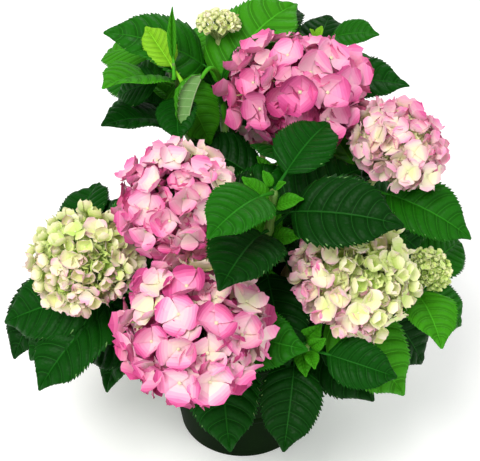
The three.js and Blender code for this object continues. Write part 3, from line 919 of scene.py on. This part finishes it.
POT_GREEN = (5, 24, 2)
POT_DUST = (14, 36, 7)


def wall_radius(height):
    """The radius of the pot's outer wall at a height, below the ledge or above it."""
    taper = POT["rim"] - POT["lip"] - POT["ledge"] - POT["foot"]
    step = POT["ledge"] if height > POT["ledge_height"] else 0
    return POT["foot"] + taper * height / POT["height"] + step


def start_ring(name, radius, height, corners):
    """A circle as a new piece in edit mode, its edge selected, ready to be drawn out ring by ring."""
    bpy.ops.object.select_all(action="DESELECT")
    place = (0, 0, height * MM)
    bpy.ops.mesh.primitive_circle_add(vertices=corners, radius=radius * MM, location=place)
    piece = bpy.context.object
    piece.name = piece.data.name = name
    bpy.ops.object.transform_apply(location=True, rotation=True, scale=True)
    bpy.ops.object.mode_set(mode="EDIT")
    bpy.ops.mesh.select_mode(type="EDGE")
    bpy.ops.mesh.select_all(action="SELECT")
    return piece


def draw_ring(before, after):
    """Extrudes the selected ring from one radius and height to the next."""
    rise = (after[1] - before[1]) * MM
    bpy.ops.mesh.extrude_edges_move(TRANSFORM_OT_translate={"value": (0, 0, rise)})
    share = after[0] / before[0]
    bpy.ops.transform.resize(value=(share, share, 1), center_override=(0, 0, after[1] * MM))


def turned(name, profile, corners):
    """A round closed piece drawn up from the first ring of its profile to the last."""
    piece = start_ring(name, *profile[0], corners)
    bpy.ops.mesh.edge_face_add()
    bpy.ops.mesh.select_all(action="SELECT")
    for before, after in zip(profile, profile[1:]):
        draw_ring(before, after)
    bpy.ops.mesh.edge_face_add()
    bpy.ops.mesh.select_all(action="SELECT")
    bpy.ops.mesh.normals_make_consistent(inside=False)
    bpy.ops.object.mode_set(mode="OBJECT")
    bpy.ops.object.shade_smooth_by_angle(angle=math.radians(40))
    return piece


def pot_profile():
    height, ledge, lip, rim = POT["height"], POT["ledge_height"], POT["lip"], POT["rim"]
    under = height - 2 * lip
    wall = POT["wall"]
    outside = [
        (POT["foot"] - 16, 1.6), (POT["foot"] - 12, 1.4), (POT["foot"] - 10.5, 0), (POT["foot"] - 2, 0),
        (POT["foot"] - 0.6, 0.5), (POT["foot"], 2),
        (wall_radius(ledge - 2), ledge - 2), (wall_radius(ledge - 2) + 0.4, ledge - 1),
        (wall_radius(ledge + 1) - 0.5, ledge + 0.2), (wall_radius(ledge + 1), ledge + 1),
        (wall_radius(ledge + 7), ledge + 7), (wall_radius(ledge + 7) - 0.35, ledge + 7.6),
        (wall_radius(ledge + 9) - 0.35, ledge + 9), (wall_radius(ledge + 10), ledge + 9.8),
        (wall_radius(under - 1.4), under - 1.4), (wall_radius(under - 1) + 0.9, under - 0.6),
    ]
    roll = [
        (rim - lip * 0.5 - 0.5 + (lip * 0.5 + 0.5) * math.sin(turn), under + lip - lip * math.cos(turn))
        for turn in np.linspace(0.12, math.pi, 9)
    ]
    inside = [
        (wall_radius(height) - wall + 0.6, height - 0.5), (wall_radius(height) - wall, height - 1.6),
        (wall_radius(ledge + 4) - wall, ledge + 4), (wall_radius(ledge - 2) - wall, ledge),
        (POT["foot"] - wall + 0.5, POT["floor"]),
    ]
    return outside + roll + inside


def make_pot():
    """The nursery pot: thin moulded plastic with a stepped wall, a groove and a rolled lip."""
    pot = turned("nursery_pot", pot_profile(), 128)
    pot.data.materials.append(moulded_plastic())
    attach(pot, "root")
    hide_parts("pot")


def moulded_plastic():
    """Dark green plastic, satin, clouded with dust and dried splashes."""
    material = bpy.data.materials.new("moulded_plastic")
    material.use_nodes = True
    nodes, links = material.node_tree.nodes, material.node_tree.links
    shader = nodes["Principled BSDF"]
    place = nodes.new("ShaderNodeTexCoord")
    spots = nodes.new("ShaderNodeTexNoise")
    spots.inputs["Scale"].default_value = 38
    spots.inputs["Detail"].default_value = 8
    spots.inputs["Roughness"].default_value = 0.62
    dust = nodes.new("ShaderNodeValToRGB")
    dust.color_ramp.elements[0].position = 0.42
    dust.color_ramp.elements[0].color = tone(*POT_GREEN)
    dust.color_ramp.elements[1].position = 0.86
    dust.color_ramp.elements[1].color = tone(*POT_DUST)
    shader.inputs["Specular IOR Level"].default_value = 0.02
    sheen = nodes.new("ShaderNodeMapRange")
    sheen.inputs["To Min"].default_value = 0.46
    sheen.inputs["To Max"].default_value = 0.7
    grain = nodes.new("ShaderNodeTexNoise")
    grain.inputs["Scale"].default_value = 900
    grain.inputs["Detail"].default_value = 2
    relief = nodes.new("ShaderNodeBump")
    relief.inputs["Strength"].default_value = 0.12
    relief.inputs["Distance"].default_value = 0.0005
    links.new(place.outputs["Object"], spots.inputs["Vector"])
    links.new(place.outputs["Object"], grain.inputs["Vector"])
    links.new(spots.outputs["Fac"], dust.inputs["Fac"])
    links.new(dust.outputs["Color"], shader.inputs["Base Color"])
    links.new(spots.outputs["Fac"], sheen.inputs["Value"])
    links.new(sheen.outputs["Result"], shader.inputs["Roughness"])
    links.new(grain.outputs["Fac"], relief.inputs["Height"])
    links.new(relief.outputs["Normal"], shader.inputs["Normal"])
    return material


# Potting mix

# Four browns from wet peat to dry bark, and the white grains last.
MIX_COLOURS = [(30, 21, 15), (48, 33, 22), (72, 50, 32), (104, 78, 52), (206, 200, 186)]
WHITE_GRAIN = len(MIX_COLOURS) - 1
CHIPS = 1500
CHIP_CORNERS = np.array([
    [-1, -1, -1], [1, -0.8, -1], [0.9, 1, -1], [-0.8, 0.8, -1],
    [-0.8, -0.7, 1], [0.8, -0.9, 1], [1, 0.7, 1], [-0.7, 0.9, 1],
])
CHIP_FACES = [[3, 2, 1, 0], [4, 5, 6, 7], [0, 1, 5, 4], [1, 2, 6, 5], [2, 3, 7, 6], [3, 0, 4, 7]]


def mix_height(x, y):
    """How high the surface of the mix lies over a place, a little mounded and lumpy."""
    radius = np.hypot(x, y)
    lumps = np.sin(x * 0.31 + 1.3 * np.sin(y * 0.23)) * np.sin(y * 0.27 + 1.1 * np.sin(x * 0.19))
    fine = np.sin(x * 1.1 + 2 * np.sin(y * 0.8)) * np.sin(y * 1.3 + 2 * np.sin(x * 0.9))
    return MIX_TOP - 1.2 + 2.4 * np.cos(radius / 82 * math.pi / 2) + 0.9 * lumps + 0.4 * fine


def make_mix():
    """Peat and bark: a lumpy surface to the pot's wall, strewn with chips, fibres and white grains."""
    heap = Heap()
    inset = wall_radius(MIX_TOP) - POT["wall"] - 0.4
    rings, sides = 35, 96
    radii = np.append(np.linspace(1.5, inset, rings - 1), inset * 0.985)
    angles = np.arange(sides) * 2 * math.pi / sides
    x = radii[:, None] * np.cos(angles)
    y = radii[:, None] * np.sin(angles)
    heights = mix_height(x, y)
    heights[-2:] -= [[1.5], [13.5]]
    surface = np.vstack([np.stack([x, y, heights], -1).reshape(-1, 3), [[0, 0, mix_height(0.0, 0.0)]]])
    kinds = [int(3 * chance(21, k // 3)) for k in range((rings - 1) * sides)] + [1] * sides
    faces = [grid_faces(rings, sides, closed=True)[:, ::-1], fan_faces(rings * sides, sides)]
    heap.add(surface, np.concatenate(faces), kinds)
    for number in range(CHIPS):
        add_chip(heap, number, inset)
    finishes = [
        finish(f"mix_{number}", tone(*colour), 0.9, bump=0.6, grain=900)
        for number, colour in enumerate(MIX_COLOURS)
    ]
    piece = heap.piece("peat_and_bark", finishes, smooth=False)
    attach(piece, "root")
    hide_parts("potting_mix")


def add_chip(heap, number, inset):
    """One bit of bark, a fibre or a white grain, lying on the mix."""
    keys = (22, number)
    radius = (inset - 4) * math.sqrt(chance(*keys, 1))
    azimuth = 6.283 * chance(*keys, 2)
    x, y = radius * math.cos(azimuth), radius * math.sin(azimuth)
    white = chance(*keys, 3) < 0.06
    long = 1.2 if white else 1.6 + 5.5 * chance(*keys, 4) ** 2.2
    wide = long * (0.9 if white else 0.25 + 0.35 * chance(*keys, 5))
    thick = 0.9 if white else 0.35 + 0.5 * chance(*keys, 6)
    uneven = [[spread(0.25, *keys, corner, axis, 7) for axis in range(3)] for corner in range(8)]
    corners = CHIP_CORNERS * (1 + np.array(uneven)) * np.array([long, wide, thick]) / 2
    turn, tip = 6.283 * chance(*keys, 8), spread(0.5, *keys, 9)
    across, down = math.cos(tip), math.sin(tip)
    corners = corners @ np.array([[across, 0, down], [0, 1, 0], [-down, 0, across]])
    along_x, along_y = math.cos(turn), math.sin(turn)
    corners = corners @ np.array([[along_x, along_y, 0], [-along_y, along_x, 0], [0, 0, 1]])
    kind = WHITE_GRAIN if white else int(WHITE_GRAIN * chance(*keys, 10))
    heap.add(corners + [x, y, float(mix_height(x, y)) + 0.3], CHIP_FACES, kind)


# Stage, lights and camera, in metres

CAMERA = dict(lens=84, sensor=36, place=(-0.003, -0.8385, 0.872), target=(-0.003, 0.04, 0.21))


def make_stage():
    """A plain pale floor, wide enough to fade into the studio's own light."""
    bpy.ops.object.select_all(action="DESELECT")
    bpy.ops.mesh.primitive_plane_add(size=40, location=(0, 0, 0))
    floor = bpy.context.object
    floor.name = "floor"
    paper = finish("pale_floor", tone(252, 252, 251), 0.7, bump=0.02, grain=60, shine=0.2)
    glow = paper.node_tree.nodes["Principled BSDF"]
    glow.inputs["Emission Color"].default_value = (1, 1, 1, 1)
    glow.inputs["Emission Strength"].default_value = 0.16
    floor.data.materials.append(paper)


def make_light(name, place, target, size, power, colour=(1, 1, 1)):
    lamp = bpy.data.lights.new(name, "AREA")
    lamp.shape = "DISK"
    lamp.size = size
    lamp.energy = power
    lamp.color = colour
    holder = bpy.data.objects.new(name, lamp)
    bpy.context.collection.objects.link(holder)
    holder.location = place
    holder.rotation_euler = (Vector(target) - Vector(place)).to_track_quat("-Z", "Y").to_euler()


def make_lights():
    crown = (0, 0, 0.25)
    make_light("key_light", (-0.8, -1.3, 2.4), (0, 0, 0.2), size=1.4, power=60, colour=(1, 0.99, 0.97))
    make_light("fill_light", (1.5, -1.3, 1.3), crown, size=1.4, power=10, colour=(0.95, 0.98, 1))
    make_light("back_light", (0.5, 1.7, 1.6), crown, size=1.2, power=12)
    world = bpy.data.worlds.new("studio")
    world.use_nodes = True
    sky = world.node_tree.nodes["Background"]
    sky.inputs["Color"].default_value = (0.99, 0.995, 1, 1)
    sky.inputs["Strength"].default_value = 0.5
    bpy.context.scene.world = world


def make_camera():
    lens = bpy.data.cameras.new("camera")
    lens.lens = CAMERA["lens"]
    lens.sensor_width = CAMERA["sensor"]
    lens.clip_start = 0.05
    camera = bpy.data.objects.new("camera", lens)
    bpy.context.collection.objects.link(camera)
    place = Vector(CAMERA["place"])
    camera.location = place
    camera.rotation_euler = (Vector(CAMERA["target"]) - place).to_track_quat("-Z", "Y").to_euler()
    bpy.context.scene.camera = camera
    bpy.context.scene.view_settings.view_transform = "Standard"


make_camera()
make_lights()
make_stage()
make_pot()
make_mix()
for row, shoot in enumerate(SHOOTS):
    stem = stem_line(shoot)
    dress_stem(shoot, row, stem)
    dress_leaves(shoot, row, stem)
    if shoot["head"]:
        dress_head(shoot, row, stem)
